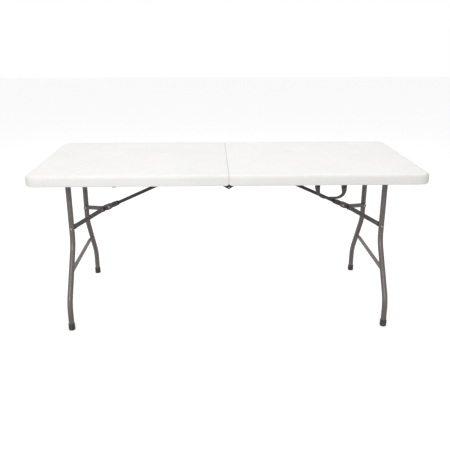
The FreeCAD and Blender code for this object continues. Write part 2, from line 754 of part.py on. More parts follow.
def carry_handle():
    """Loop handle: slim grip, large round corners, and posts that widen backwards into slotted gussets."""
    low = HANDLE_X - HANDLE_HALF_WIDTH
    high = HANDLE_X + HANDLE_HALF_WIDTH
    y = (HANDLE_PIVOT_Y - HANDLE_THICKNESS / 2, HANDLE_PIVOT_Y + HANDLE_THICKNESS / 2)
    window = box((low + HANDLE_POST, high - HANDLE_POST), (y[0] - 1, y[1] + 1),
                 (HANDLE_BOTTOM_Z + HANDLE_GRIP, HANDLE_PIVOT_Z + 1))
    lower = [e for e in window.Edges if is_along_y(e) and e.CenterOfMass.z < HANDLE_PIVOT_Z]
    window = window.makeFillet(HANDLE_INNER_CORNER, lower)
    loop = handle_block(y, HANDLE_PIVOT_Z).cut(window)
    rims = [e for e in loop.Edges if lies_across_y(e) and e.CenterOfMass.z < HANDLE_PIVOT_Z - 1]
    pieces = [loop.makeFillet(HANDLE_EDGE_RADIUS, rims)]
    cuts = []
    outline = handle_block((y[0], HANDLE_PIVOT_Y + GUSSET_REACH), HANDLE_PIVOT_Z + HANDLE_THICKNESS)
    for middle in post_middles():
        x = (middle - HANDLE_POST / 2, middle + HANDLE_POST / 2)
        pieces.append(post_top(x).common(outline))
        cuts.append(post_slot(middle))
        cuts.append(handle_pin(middle))
    return without(joined(pieces), cuts)


def handle_block(y, top):
    """Block with the width and the round lower corners of the handle."""
    block = box((HANDLE_X - HANDLE_HALF_WIDTH, HANDLE_X + HANDLE_HALF_WIDTH), y, (HANDLE_BOTTOM_Z, top))
    bottom = [e for e in block.Edges if is_along_y(e) and e.CenterOfMass.z < HANDLE_BOTTOM_Z + 1]
    return block.makeFillet(HANDLE_OUTER_CORNER, bottom)


def post_middles():
    """X of the middle of each handle post."""
    reach = HANDLE_HALF_WIDTH - HANDLE_POST / 2
    return (HANDLE_X - reach, HANDLE_X + reach)


def post_top(x):
    """Round eye of one post with the gusset behind it."""
    eye = rod(Vector(x[0], HANDLE_PIVOT_Y, HANDLE_PIVOT_Z), Vector(x[1], HANDLE_PIVOT_Y, HANDLE_PIVOT_Z),
              HANDLE_THICKNESS / 2)
    back = HANDLE_PIVOT_Y + GUSSET_REACH
    gusset = plate_yz(
        (
            (HANDLE_PIVOT_Y, HANDLE_PIVOT_Z + HANDLE_THICKNESS / 2),
            (back, HANDLE_PIVOT_Z + GUSSET_TOP),
            (back, HANDLE_PIVOT_Z + GUSSET_TOP - GUSSET_LIP),
            (HANDLE_PIVOT_Y + HANDLE_THICKNESS / 2 - 1, HANDLE_PIVOT_Z - GUSSET_HEIGHT),
            (HANDLE_PIVOT_Y, HANDLE_PIVOT_Z - GUSSET_HEIGHT),
        ),
        x,
    )
    return joined([eye, gusset])


def post_slot(middle):
    """Slot in the top of one post that the lug stands in."""
    return box((middle - HANDLE_SLOT / 2, middle + HANDLE_SLOT / 2),
               (HANDLE_PIVOT_Y - HANDLE_THICKNESS, HANDLE_PIVOT_Y + HANDLE_SLOT_BACK),
               (HANDLE_PIVOT_Z - HANDLE_SLOT_LOW, HANDLE_PIVOT_Z + HANDLE_THICKNESS))


def lies_across_y(edge):
    """True for an edge in one plane across Y."""
    bounds = edge.BoundBox
    return bounds.YMax - bounds.YMin < 0.01


def is_along_y(edge):
    """True for an edge parallel to Y."""
    bounds = edge.BoundBox
    return bounds.XMax - bounds.XMin < 0.01 and bounds.ZMax - bounds.ZMin < 0.01


def handle_lug(middle):
    """Ear under the front rail, in the slot of one handle post, with its bore for the pin."""
    x = (middle - LUG_THICKNESS / 2, middle + LUG_THICKNESS / 2)
    start = Vector(x[0], HANDLE_PIVOT_Y, HANDLE_PIVOT_Z)
    end = Vector(x[1], HANDLE_PIVOT_Y, HANDLE_PIVOT_Z)
    ear = box(x, (HANDLE_PIVOT_Y - LUG_RADIUS, HANDLE_PIVOT_Y + LUG_RADIUS), (HANDLE_PIVOT_Z, RAIL_Z))
    eye = rod(start, end, LUG_RADIUS)
    base = box((middle - LUG_BASE_LENGTH / 2, middle + LUG_BASE_LENGTH / 2),
               (-RAIL_OUTER_Y + 1, -RAIL_INNER_Y - 1), (RAIL_Z - LUG_BASE, RAIL_Z))
    bore = rod(start - X_AXIS, end + X_AXIS, HANDLE_PIN_RADIUS + RUNNING_PLAY)
    return joined([ear, eye, base]).cut(bore)


def handle_pin(middle):
    """Pin through one handle post and its lug."""
    start = Vector(middle - HANDLE_POST / 2, HANDLE_PIVOT_Y, HANDLE_PIVOT_Z)
    return rod(start, start + Vector(HANDLE_POST, 0, 0), HANDLE_PIN_RADIUS)


def case_catch():
    """Small moulded clip under the left front rail that holds the folded table shut."""
    x = (-CATCH_X - CATCH_LENGTH / 2, -CATCH_X + CATCH_LENGTH / 2)
    lip_x = (x[0] + CATCH_INSET, x[1] - CATCH_INSET)
    front = -RAIL_OUTER_Y + 1
    base = box(x, (front, -RAIL_INNER_Y - 1), (RAIL_Z - CATCH_SHEET, RAIL_Z))
    lip = box(lip_x, (front, front + CATCH_SHEET), (RAIL_Z - CATCH_DROP, RAIL_Z))
    toe = box(lip_x, (front, front + CATCH_DROP), (RAIL_Z - CATCH_DROP - CATCH_SHEET, RAIL_Z - CATCH_DROP))
    return joined([base, lip, toe])


def screws_right():
    """Every screw of one half, by kind."""
    rail_set = [screw(x, y, RAIL_Z, RAIL_HEIGHT + SCREW_DEPTH - 1) for x, y in rail_screws()]
    low = PANEL_Z - BRACKET_FLANGE
    bracket_set = [screw(x, y, low, BRACKET_FLANGE + SCREW_DEPTH - 1) for x, y in bracket_screws()]
    base = PANEL_Z + ANCHOR_POCKET_DEPTH - ANCHOR_BASE
    anchor_set = [screw(x, y, base, ANCHOR_BASE + ANCHOR_SCREW_DEPTH - 1) for x, y in anchor_screws()]
    return rail_set, bracket_set, anchor_set


def build():
    """Every node of the table by name."""
    bolt, anchor, knee, bar_length, fork_length = brace_points()
    outward = knee - anchor
    inward = anchor - knee
    to_knee = knee - bolt
    rails = front_and_rear(rail())
    rail_set, bracket_set, anchor_set = screws_right()
    arms = front_and_rear(fork_arm())
    rivets = front_and_rear(fork_rivet())
    legs = front_and_rear(leg_tube())

    both = {
        "top_half": top_half(),
        "rail_front": rails[0],
        "rail_rear": rails[1],
        "leg_brackets": Part.makeCompound(front_and_rear(leg_bracket())),
        "brace_anchor": brace_anchor(),
        "brace_anchor_pin": cross_pin(anchor, ANCHOR_EAR_Y + ANCHOR_EAR, ANCHOR_PIN_HEAD_RADIUS),
        "rail_screws": Part.makeCompound(rail_set),
        "bracket_screws": Part.makeCompound(bracket_set),
        "anchor_screws": Part.makeCompound(anchor_set),
        "leg_tube_front": legs[0],
        "leg_tube_rear": legs[1],
        "leg_pivot_tube": pivot_tube(),
        "leg_pivot_plugs": Part.makeCompound(front_and_rear(pivot_plug())),
        "leg_crossbar": crossbar(),
        "foot_caps": Part.makeCompound(front_and_rear(foot_cap())),
        "brace_bolts": Part.makeCompound(front_and_rear(brace_bolt())),
        "brace_bar": framed(brace_bar(bar_length), anchor, outward),
        "fork_head": framed_upright(fork_head(fork_length), bolt, to_knee),
        "fork_arms": framed(Part.makeCompound(arms), bolt, to_knee),
        "fork_rivets": framed(Part.makeCompound(rivets), bolt, to_knee),
        "knee_rivet": cross_pin(knee, HEAD_INNER_Y + HEAD_PLATE, KNEE_HEAD_RADIUS),
        "lock_ring": framed_upright(lock_ring(), knee, inward),
    }
    nodes = {}
    for name, shape in both.items():
        nodes[name + "_right"] = shape
        nodes[name + "_left"] = mirrored(shape)

    first = -RAIL_OUTER_Y + RAIL_WALL + 0.5
    second = first + HINGE_EAR + HINGE_EAR_GAP
    left_ear = mirrored(hinge_ear(first, HINGE_PIN_RADIUS))
    right_ear = hinge_ear(second, HINGE_PIN_RADIUS + RUNNING_PLAY)
    pin = hinge_pin(first, second + HINGE_EAR + 0.5)
    nodes["hinge_ears_left"] = Part.makeCompound(front_and_rear(left_ear))
    nodes["hinge_ears_right"] = Part.makeCompound(front_and_rear(right_ear))
    nodes["hinge_pins"] = Part.makeCompound(front_and_rear(pin))
    nodes["carry_handle"] = carry_handle()
    nodes["handle_lugs"] = Part.makeCompound([handle_lug(middle) for middle in post_middles()])
    nodes["handle_pins"] = Part.makeCompound([handle_pin(middle) for middle in post_middles()])
    nodes["case_catch"] = case_catch()
    return nodes


def framed_upright(shape, origin, direction):
    """As framed, but keeps the top of the piece upwards when the direction runs towards -X."""
    if direction.x >= 0:
        return framed(shape, origin, direction)
    flipped = shape.mirror(Vector(0, 0, 0), X_AXIS)
    return framed(flipped, origin, direction * -1)


os.makedirs("parts", exist_ok=True)
for node, shape in build().items():
    shape.exportStep("parts/" + node + ".step")
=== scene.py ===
import json
import math

import bmesh
import bpy
from mathutils import Matrix, Vector


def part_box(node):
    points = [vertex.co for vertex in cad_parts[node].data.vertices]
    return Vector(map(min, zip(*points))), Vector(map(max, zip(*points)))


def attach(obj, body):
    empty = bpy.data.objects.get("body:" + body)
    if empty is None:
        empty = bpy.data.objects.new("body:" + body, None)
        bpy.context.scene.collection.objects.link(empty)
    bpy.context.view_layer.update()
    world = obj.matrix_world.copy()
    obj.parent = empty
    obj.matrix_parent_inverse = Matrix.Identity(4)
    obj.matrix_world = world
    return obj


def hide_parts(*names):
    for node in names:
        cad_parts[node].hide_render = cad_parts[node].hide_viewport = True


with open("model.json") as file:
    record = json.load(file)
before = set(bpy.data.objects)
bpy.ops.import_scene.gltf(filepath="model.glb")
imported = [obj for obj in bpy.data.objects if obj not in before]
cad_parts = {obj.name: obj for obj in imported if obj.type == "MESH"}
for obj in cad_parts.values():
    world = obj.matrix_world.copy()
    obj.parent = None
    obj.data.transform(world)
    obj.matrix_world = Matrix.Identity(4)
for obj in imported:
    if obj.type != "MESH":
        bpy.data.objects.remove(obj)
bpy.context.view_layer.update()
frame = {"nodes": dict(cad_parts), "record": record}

SIDES = {"left": -1, "right": 1}
ENDS = {"front": -1, "rear": 1}

# moulded top, metres
TOP_LOW, TOP_HIGH = (Vector(corner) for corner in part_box("top_half_right"))
CORNER_RADIUS = 0.050
TOP_ROLL = 0.014
LOWER_ROLL = 0.005
SEAM_ROLL = 0.0014
RIM_LIP = 0.009
RIM_INNER_ROLL = 0.003
PANEL_UNDER = 0.720
RECESS_ROOF = 0.734
HINGE_NOTCH = 0.017
HINGE_NOTCH_Y = (0.341, 0.366)
SEAM_OVERRUN = 0.002
SEAM_RELIEF = 0.009
RELIEF_HALF_LENGTH = 0.020
RIM_BAND = 0.012

# dimpled underside
DIMPLE_COLUMNS = 20
DIMPLE_ROWS = 7
DIMPLE_X = (0.024, 0.836)
DIMPLE_Y = (0.034, 0.312)
DIMPLE_DEPTH = 0.008
PANEL_X = (0.009, 0.8465)
PANEL_Y = (0.024, 0.3665)
GROOVE_STEPS = ((0.009, 0.055, 0.724), (0.055, 0.105, 0.728), (0.105, 0.666, 0.724), (0.666, 0.8465, 0.720))

# foot cups: radius and height pairs from the sole upward
FOOT_RADIUS = 0.0150
FOOT_SOLE = ((0, 0), (0.0120, 0), (0.0138, 0.0007), (0.0149, 0.0028), (FOOT_RADIUS, 0.0080))
FOOT_GROOVES = 3
FOOT_GROOVE_START = 0.0100
FOOT_GROOVE_PITCH = 0.0048
FOOT_GROOVE_RADIUS = 0.0143
FOOT_GROOVE_STEPS = (0.0006, 0.0016, 0.0022)
FOOT_MOUTH = ((FOOT_RADIUS, 0.0275), (0.0145, 0.0305), (0.0136, 0.0318), (0.01256, 0.0320),
              (0.01256, 0.0042), (0, 0.0042))

# welds: ring round each leg top, its ripples as size, count and phase, and the half sizes along x, y
# and z of the lump at a crossbar end
WELD_WIDTH = 0.0016
WELD_LIFT = 0.0003
WELD_RIPPLES = ((0.035, 22, 0.0), (0.02, 7, 1.0))
TACK_SIZE = (0.0032, 0.0040, 0.0060)

# carry handle, the bands round its grip
RIB_COUNT = 3
RIB_PITCH = 0.0065
RIB_WIDTH = 0.0024
RIB_RISE = 0.0004
GRIP_DEPTH = 0.009
GRIP_HEIGHT = 0.008
GRIP_ROUND = 0.0022

# stage
FLOOR_GREY = (0.60, 0.60, 0.60)
FLOOR_GLOW = 0.62
WALL_LIGHT = 0.54
LIGHTS = (
    ("overhead", (0.0, 1.0, 3.2), (0.0, 0.1, 0.7), (4.2, 2.6), 50.0),
    ("front", (-0.9, -3.5, 2.2), (0.0, 0.0, 0.6), (3.2, 1.4), 62.0),
)

# paint
PAINT_DARK = (0.075, 0.064, 0.062)
PAINT_LIGHT = (0.135, 0.119, 0.115)
PAINT_DEEP = (0.060, 0.052, 0.050)
PAINT_PALE = (0.150, 0.134, 0.130)
PAINT_DUST = (0.16, 0.15, 0.14)
PAINT_WORN = (0.17, 0.165, 0.16)
FRAME_TONE = 1.8
# per-part tones are painted light and shade: the brace bar and lock ring are darker as painted shade under
# the top, and the crossbar, fork head and fork arms are lighter as painted light
PAINTED_LIGHT_AND_SHADE_TONES = {
    "leg_crossbar": 2.8,
    "fork_head": 1.05,
    "fork_arms": 1.15,
    "brace_bar": 0.5,
    "lock_ring": 0.7,
}


# ---- shader groups ----------------------------------------------------------------------------------

def new_group(name, inputs, outputs):
    """Empty shader group with float inputs (name, default) and named float outputs."""
    tree = bpy.data.node_groups.new(name, "ShaderNodeTree")
    for label, value in inputs:
        socket = tree.interface.new_socket(label, in_out="INPUT", socket_type="NodeSocketFloat")
        socket.default_value = value
    for label in outputs:
        tree.interface.new_socket(label, in_out="OUTPUT", socket_type="NodeSocketFloat")
    return tree, tree.nodes.new("NodeGroupInput"), tree.nodes.new("NodeGroupOutput")


def math_node(tree, operation, first, second=None, clamp=False):
    """Math node fed by sockets or plain numbers."""
    node = tree.nodes.new("ShaderNodeMath")
    node.operation = operation
    node.use_clamp = clamp
    for socket, value in zip(node.inputs, (first, second)):
        if value is None:
            continue
        if isinstance(value, (int, float)):
            socket.default_value = value
        else:
            tree.links.new(value, socket)
    return node.outputs[0]


def remap(tree, value, low, high, to_low=0.0, to_high=1.0):
    """Clamped linear change of range."""
    node = tree.nodes.new("ShaderNodeMapRange")
    node.inputs["From Min"].default_value = low
    node.inputs["From Max"].default_value = high
    node.inputs["To Min"].default_value = to_low
    node.inputs["To Max"].default_value = to_high
    tree.links.new(value, node.inputs["Value"])
    return node.outputs["Result"]


def noise(tree, vector, scale, detail=3.0, roughness=0.55):
    """Noise texture on a vector; scale is a number or a socket."""
    node = tree.nodes.new("ShaderNodeTexNoise")
    node.inputs["Detail"].default_value = detail
    node.inputs["Roughness"].default_value = roughness
    tree.links.new(vector, node.inputs["Vector"])
    if isinstance(scale, (int, float)):
        node.inputs["Scale"].default_value = scale
    else:
        tree.links.new(scale, node.inputs["Scale"])
    return node.outputs["Fac"]


def object_vector(tree):
    """Object coordinates."""
    return tree.nodes.new("ShaderNodeTexCoord").outputs["Object"]


def make_mottle():
    """Slow uneven patches between 0 and 1."""
    tree, start, end = new_group("mottle", [("Scale", 8.0), ("Contrast", 0.5)], ["Mask"])
    patches = noise(tree, object_vector(tree), start.outputs["Scale"], 5.0, 0.6)
    centred = math_node(tree, "SUBTRACT", patches, 0.5)
    wide = math_node(tree, "MULTIPLY", centred, 4.0)
    shaped = math_node(tree, "MULTIPLY", wide, start.outputs["Contrast"])
    result = math_node(tree, "ADD", shaped, 0.5, clamp=True)
    tree.links.new(result, end.inputs["Mask"])
    return tree


def make_pebble():
    """Low rounded bumps: cells of one size with finer grain on them."""
    tree, start, end = new_group("pebble", [("Scale", 600.0), ("Grain", 0.3)], ["Height"])
    where = object_vector(tree)
    cells = tree.nodes.new("ShaderNodeTexVoronoi")
    cells.feature = "SMOOTH_F1"
    cells.inputs["Smoothness"].default_value = 0.6
    tree.links.new(where, cells.inputs["Vector"])
    tree.links.new(start.outputs["Scale"], cells.inputs["Scale"])
    bumps = math_node(tree, "SUBTRACT", 1.0, cells.outputs["Distance"])
    fine_scale = math_node(tree, "MULTIPLY", start.outputs["Scale"], 2.7)
    fine = noise(tree, where, fine_scale, 2.0)
    grain = math_node(tree, "MULTIPLY", fine, start.outputs["Grain"])
    tree.links.new(math_node(tree, "ADD", bumps, grain), end.inputs["Height"])
    return tree


def make_edge_wear():
    """Mask along outside corners, broken up by patches."""
    inputs = [("Breakup", 60.0), ("Amount", 0.6)]
    tree, start, end = new_group("edge_wear", inputs, ["Mask"])
    rounded = tree.nodes.new("ShaderNodeBevel")
    rounded.samples = 4
    rounded.inputs["Radius"].default_value = 0.0015
    surface = tree.nodes.new("ShaderNodeNewGeometry")
    compare = tree.nodes.new("ShaderNodeVectorMath")
    compare.operation = "DOT_PRODUCT"
    tree.links.new(rounded.outputs["Normal"], compare.inputs[0])
    tree.links.new(surface.outputs["True Normal"], compare.inputs[1])
    corner = remap(tree, compare.outputs["Value"], 0.97, 0.75)
    patches = noise(tree, object_vector(tree), start.outputs["Breakup"], 4.0, 0.65)
    broken = remap(tree, patches, 0.45, 0.62)
    worn = math_node(tree, "MULTIPLY", corner, broken)
    result = math_node(tree, "MULTIPLY", worn, start.outputs["Amount"], clamp=True)
    tree.links.new(result, end.inputs["Mask"])
    return tree


def make_dust():
    """Mask on faces that look up, thin and patchy."""
    tree, start, end = new_group("dust", [("Amount", 0.2), ("Scale", 14.0)], ["Mask"])
    surface = tree.nodes.new("ShaderNodeNewGeometry")
    split = tree.nodes.new("ShaderNodeSeparateXYZ")
    tree.links.new(surface.outputs["Normal"], split.inputs["Vector"])
    upward = remap(tree, split.outputs["Z"], 0.2, 0.95)
    patches = remap(tree, noise(tree, object_vector(tree), start.outputs["Scale"], 6.0, 0.6), 0.35, 0.7)
    layer = math_node(tree, "MULTIPLY", upward, patches)
    result = math_node(tree, "MULTIPLY", layer, start.outputs["Amount"], clamp=True)
    tree.links.new(result, end.inputs["Mask"])
    return tree


GROUPS = {
    "mottle": make_mottle(),
    "pebble": make_pebble(),
    "edge_wear": make_edge_wear(),
    "dust": make_dust(),
}


# ---- materials --------------------------------------------------------------------------------------

class Finish:
    """One material with its Principled shader and short ways to add layers to it."""

    def __init__(self, name, metallic=0.0, coat=0.0, coat_roughness=0.2, specular=0.5):
        self.material = bpy.data.materials.new(name)
        self.material.use_nodes = True
        self.tree = self.material.node_tree
        self.shader = next(n for n in self.tree.nodes if n.type == "BSDF_PRINCIPLED")
        self.shader.inputs["Metallic"].default_value = metallic
        self.shader.inputs["Coat Weight"].default_value = coat
        self.shader.inputs["Coat Roughness"].default_value = coat_roughness
        self.shader.inputs["Specular IOR Level"].default_value = specular
        self.where = object_vector(self.tree)
        self.colour = None

    def group(self, name, **values):
        """First output of a shared group with its own values."""
        node = self.tree.nodes.new("ShaderNodeGroup")
        node.node_tree = GROUPS[name]
        for label, value in values.items():
            node.inputs[label.capitalize()].default_value = value
        return node.outputs[0]

    def mix(self, mask, first, second):
        """Colour between two others; first may be a socket."""
        node = self.tree.nodes.new("ShaderNodeMix")
        node.data_type = "RGBA"
        self.tree.links.new(mask, node.inputs["Factor"])
        for socket, value in ((node.inputs[6], first), (node.inputs[7], second)):
            if isinstance(value, tuple):
                socket.default_value = (*value, 1.0)
            else:
                self.tree.links.new(value, socket)
        return node.outputs[2]

    def paint(self, colour):
        """Feed the base colour."""
        self.tree.links.new(colour, self.shader.inputs["Base Color"])

    def rough(self, mask, low, high):
        """Roughness between two values."""
        value = remap(self.tree, mask, 0.0, 1.0, low, high)
        self.tree.links.new(value, self.shader.inputs["Roughness"])

    def bump(self, layers):
        """Chain of bump nodes from (height, strength, distance in metres)."""
        normal = None
        for height, strength, distance in layers:
            node = self.tree.nodes.new("ShaderNodeBump")
            node.inputs["Strength"].default_value = strength
            node.inputs["Distance"].default_value = distance
            self.tree.links.new(height, node.inputs["Height"])
            if normal is not None:
                self.tree.links.new(normal, node.inputs["Normal"])
            normal = node.outputs["Normal"]
        self.tree.links.new(normal, self.shader.inputs["Normal"])


def moulded_white():
    """Pebbled white polyethylene of the top."""
    finish = Finish("moulded_white", specular=0.4)
    patches = finish.group("mottle", scale=5.0, contrast=0.5)
    colour = finish.mix(patches, (0.86, 0.855, 0.835), (0.91, 0.905, 0.885))
    haze = finish.group("dust", amount=0.10, scale=22.0)
    colour = finish.mix(haze, colour, (0.74, 0.72, 0.69))
    rub = finish.group("edge_wear", breakup=35.0, amount=0.25)
    colour = finish.mix(rub, colour, (0.66, 0.64, 0.61))
    finish.paint(colour)
    finish.rough(finish.group("mottle", scale=40.0, contrast=0.8), 0.40, 0.56)
    finish.bump([
        (finish.group("mottle", scale=9.0, contrast=0.3), 0.25, 0.0006),
        (finish.group("pebble", scale=620.0, grain=0.35), 0.45, 0.0002),
    ])
    return finish.material


def toned(colour, tone):
    """Colour made lighter or darker."""
    return tuple(channel * tone for channel in colour)


def hammered_paint(name, tone):
    """Dark grey-brown hammered powder coat; the tone makes it lighter or darker, and for the per-part copies
    that is painted light and painted shade.
    """
    finish = Finish(name, metallic=0.25, coat=0.30, coat_roughness=0.25)
    flecks = finish.group("pebble", scale=230.0, grain=0.6)
    shade = remap(finish.tree, flecks, 0.55, 1.25)
    colour = finish.mix(shade, toned(PAINT_DARK, tone), toned(PAINT_LIGHT, tone))
    patches = finish.group("mottle", scale=12.0, contrast=0.5)
    light = finish.mix(patches, toned(PAINT_DEEP, tone), toned(PAINT_PALE, tone))
    half = finish.tree.nodes.new("ShaderNodeMix")
    half.data_type = "RGBA"
    half.inputs["Factor"].default_value = 0.3
    finish.tree.links.new(colour, half.inputs[6])
    finish.tree.links.new(light, half.inputs[7])
    colour = finish.mix(finish.group("dust", amount=0.18, scale=30.0), half.outputs[2],
                        toned(PAINT_DUST, tone))
    wear = finish.group("edge_wear", breakup=80.0, amount=0.55)
    finish.paint(finish.mix(wear, colour, toned(PAINT_WORN, tone)))
    finish.rough(finish.group("mottle", scale=70.0, contrast=0.7), 0.34, 0.50)
    finish.bump([
        (flecks, 0.5, 0.0004),
        (noise(finish.tree, finish.where, 1400.0, 2.0), 0.15, 0.0001),
    ])
    return finish.material


def satin_black():
    """Black coated hinge and handle steel."""
    finish = Finish("satin_black", coat=0.03, coat_roughness=0.3, specular=0.12)
    patches = finish.group("mottle", scale=45.0, contrast=0.6)
    colour = finish.mix(patches, (0.008, 0.008, 0.008), (0.018, 0.017, 0.017))
    wear = finish.group("edge_wear", breakup=120.0, amount=0.4)
    finish.paint(finish.mix(wear, colour, (0.09, 0.088, 0.085)))
    finish.rough(patches, 0.38, 0.55)
    finish.bump([(finish.group("pebble", scale=1500.0, grain=0.6), 0.3, 0.0001)])
    return finish.material


def zinc_plate():
    """Bright plated rivets, pins and screws."""
    finish = Finish("zinc_plate", metallic=1.0)
    patches = finish.group("mottle", scale=160.0, contrast=0.7)
    colour = finish.mix(patches, (0.40, 0.39, 0.37), (0.56, 0.55, 0.53))
    grime = finish.group("mottle", scale=60.0, contrast=1.0)
    soot = remap(finish.tree, grime, 0.75, 1.0, 0.0, 0.5)
    finish.paint(finish.mix(soot, colour, (0.12, 0.11, 0.10)))
    finish.rough(finish.group("mottle", scale=300.0, contrast=0.8), 0.22, 0.42)
    finish.bump([(noise(finish.tree, finish.where, 900.0, 4.0), 0.2, 0.0001)])
    return finish.material


def dark_plastic(name, base, light, scuff_height):
    """Grained dark moulded plastic, scuffed below a height above the floor."""
    finish = Finish(name, specular=0.4)
    patches = finish.group("mottle", scale=50.0, contrast=0.6)
    colour = finish.mix(patches, base, light)
    split = finish.tree.nodes.new("ShaderNodeSeparateXYZ")
    finish.tree.links.new(finish.where, split.inputs["Vector"])
    low = remap(finish.tree, split.outputs["Z"], scuff_height, 0.0)
    scratches = remap(finish.tree, noise(finish.tree, finish.where, 260.0, 5.0, 0.7), 0.48, 0.66)
    scuffed = math_node(finish.tree, "MULTIPLY", low, scratches)
    colour = finish.mix(scuffed, colour, (0.20, 0.19, 0.18))
    rub = finish.group("edge_wear", breakup=140.0, amount=0.4)
    finish.paint(finish.mix(rub, colour, (0.15, 0.14, 0.14)))
    finish.rough(patches, 0.48, 0.66)
    finish.bump([(finish.group("pebble", scale=1100.0, grain=0.5), 0.4, 0.00015)])
    return finish.material


WHITE = moulded_white()
PAINT = hammered_paint("hammered_paint", FRAME_TONE)
# lighter and darker copies of the paint, one per listed part: painted light and painted shade in the colour
PAINTED_LIGHT_AND_SHADE_PAINTS = {part: hammered_paint(part + "_paint", tone) for part, tone in PAINTED_LIGHT_AND_SHADE_TONES.items()}
BLACK = satin_black()
ZINC = zinc_plate()
FOOT = dark_plastic("foot_plastic", (0.055, 0.050, 0.049), (0.095, 0.087, 0.085), 0.012)
GRIP = dark_plastic("handle_plastic", (0.045, 0.040, 0.040), (0.075, 0.068, 0.066), 0.001)

FINISHES = {
    "top_plastic": WHITE,
    "frame_steel": PAINT,
    "hinge_steel": BLACK,
    "bright_steel": ZINC,
    "foot_plastic": FOOT,
    "handle_plastic": GRIP,
}


def finish_cad_nodes():
    """Give every CAD node the finish of its slot; parts listed with their own tones get a lighter or darker
    copy of the paint instead, which is painted light and painted shade.
    """
    for part in frame["record"]["subparts"]:
        node = frame["nodes"][part["node"]]
        for slot in node.material_slots:
            kind = part["node"].rsplit("_", 1)[0]
            # listed parts get their copy of the paint, with painted light and shade in its colour
            slot.material = PAINTED_LIGHT_AND_SHADE_PAINTS.get(kind, FINISHES[part["material_slot"]])


# ---- mesh helpers -----------------------------------------------------------------------------------

def box_mesh(low, high):
    """Plain box between two corners."""
    bm = bmesh.new()
    bmesh.ops.create_cube(bm, size=1.0)
    bmesh.ops.scale(bm, vec=high - low, verts=bm.verts)
    bmesh.ops.translate(bm, vec=(low + high) / 2, verts=bm.verts)
    return bm


def bevel(bm, edges, offset, segments):
    """Round the edges."""
    bmesh.ops.bevel(bm, geom=edges, offset=offset, offset_type="OFFSET", segments=segments,
                    profile=0.5, affect="EDGES", material=-1, clamp_overlap=True)


def close(value, target):
    """True within a hundredth of a millimetre."""
    return abs(value - target) < 1e-5


def mirror_left(bm):
    """Turn a right-hand mesh into its left-hand copy."""
    bmesh.ops.scale(bm, vec=(-1, 1, 1), verts=bm.verts)


def piece(bm, name, body, slot, *nodes, smooth=35.0):
    """Finished object from a mesh: smooth faces, its finish, and the body it moves with."""
    bmesh.ops.recalc_face_normals(bm, faces=bm.faces)
    mesh = bpy.data.meshes.new(name)
    bm.to_mesh(mesh)
    bm.free()
    mesh.polygons.foreach_set("use_smooth", [True] * len(mesh.polygons))
    mesh.set_sharp_from_angle(angle=math.radians(smooth))
    mesh.materials.append(FINISHES[slot])
    obj = bpy.data.objects.new(name, mesh)
    bpy.context.scene.collection.objects.link(obj)
    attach(obj, body)
    if nodes:
        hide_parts(*nodes)
    return obj


def cut_away(obj, cutters):
    """Cut closed meshes out of an object for good."""
    for bm in cutters:
        bmesh.ops.recalc_face_normals(bm, faces=bm.faces)
        mesh = bpy.data.meshes.new("cutter")
        bm.to_mesh(mesh)
        bm.free()
        cutter = bpy.data.objects.new("cutter", mesh)
        bpy.context.scene.collection.objects.link(cutter)
        modifier = obj.modifiers.new("cut", "BOOLEAN")
        modifier.object = cutter
        modifier.solver = "EXACT"
        modifier.operation = "DIFFERENCE"
        graph = bpy.context.evaluated_depsgraph_get()
        result = bpy.data.meshes.new_from_object(obj.evaluated_get(graph))
        obj.modifiers.clear()
        obj.data = result
        bpy.data.objects.remove(cutter)
    obj.data.set_sharp_from_angle(angle=math.radians(35.0))


# ---- moulded top ------------------------------------------------------------------------------------

def moulded_half(side):
    """White moulded half: rolled top edge, turned-down rim, hollow underneath, notched for the hinge."""
    bm = box_mesh(TOP_LOW, TOP_HIGH)
    far = TOP_HIGH.x
    near = TOP_LOW.x
    corners = [e for e in bm.edges if all(close(v.co.x, far) for v in e.verts) and tall(e)]
    bevel(bm, corners, CORNER_RADIUS, 16)
    for height, radius, segments in ((TOP_HIGH.z, TOP_ROLL, 8), (TOP_LOW.z, LOWER_ROLL, 4)):
        rim = [e for e in bm.edges if at_height(e, height) and not at_seam(e, near)]
        bevel(bm, rim, radius, segments)
    seam = [e for e in bm.edges if at_seam(e, near) and len({round(f.normal.x, 3) for f in e.link_faces}) > 1]
    bevel(bm, seam, SEAM_ROLL, 3)
    under = max((f for f in bm.faces if f.normal.z < -0.99), key=lambda face: face.calc_area())
    bmesh.ops.inset_region(bm, faces=[under], thickness=RIM_LIP, use_even_offset=True)
    lip = list(under.edges)
    raised = bmesh.ops.extrude_discrete_faces(bm, faces=[under])["faces"][0]
    bmesh.ops.translate(bm, vec=(0, 0, RECESS_ROOF - TOP_LOW.z), verts=raised.verts)
    lip = [e for e in lip if e.is_valid] or [e for e in bm.edges if at_height(e, TOP_LOW.z) and inner(e)]
    bevel(bm, lip, RIM_INNER_ROLL, 3)
    if side < 0:
        mirror_left(bm)
    word = "left" if side < 0 else "right"
    half = piece(bm, "moulded_top_" + word, "half_" + word, "top_plastic", "top_half_" + word)
    notches = [notch_cutter(side, end) for end in (-1, 1)]
    reliefs = [relief_cutter(side, end) for end in (-1, 1)]
    cut_away(half, notches + reliefs)
    return half


def tall(edge):
    """True for an upright edge."""
    return abs(edge.verts[0].co.z - edge.verts[1].co.z) > 0.01


def at_height(edge, height):
    """True for an edge lying at one height."""
    return all(close(v.co.z, height) for v in edge.verts)


def at_seam(edge, near):
    """True for an edge lying in the seam face."""
    return all(close(v.co.x, near) for v in edge.verts)


def inner(edge):
    """True for an edge well inside the outline."""
    middle = (edge.verts[0].co + edge.verts[1].co) / 2
    return middle.x < TOP_HIGH.x - RIM_BAND and abs(middle.y) < TOP_HIGH.y - RIM_BAND


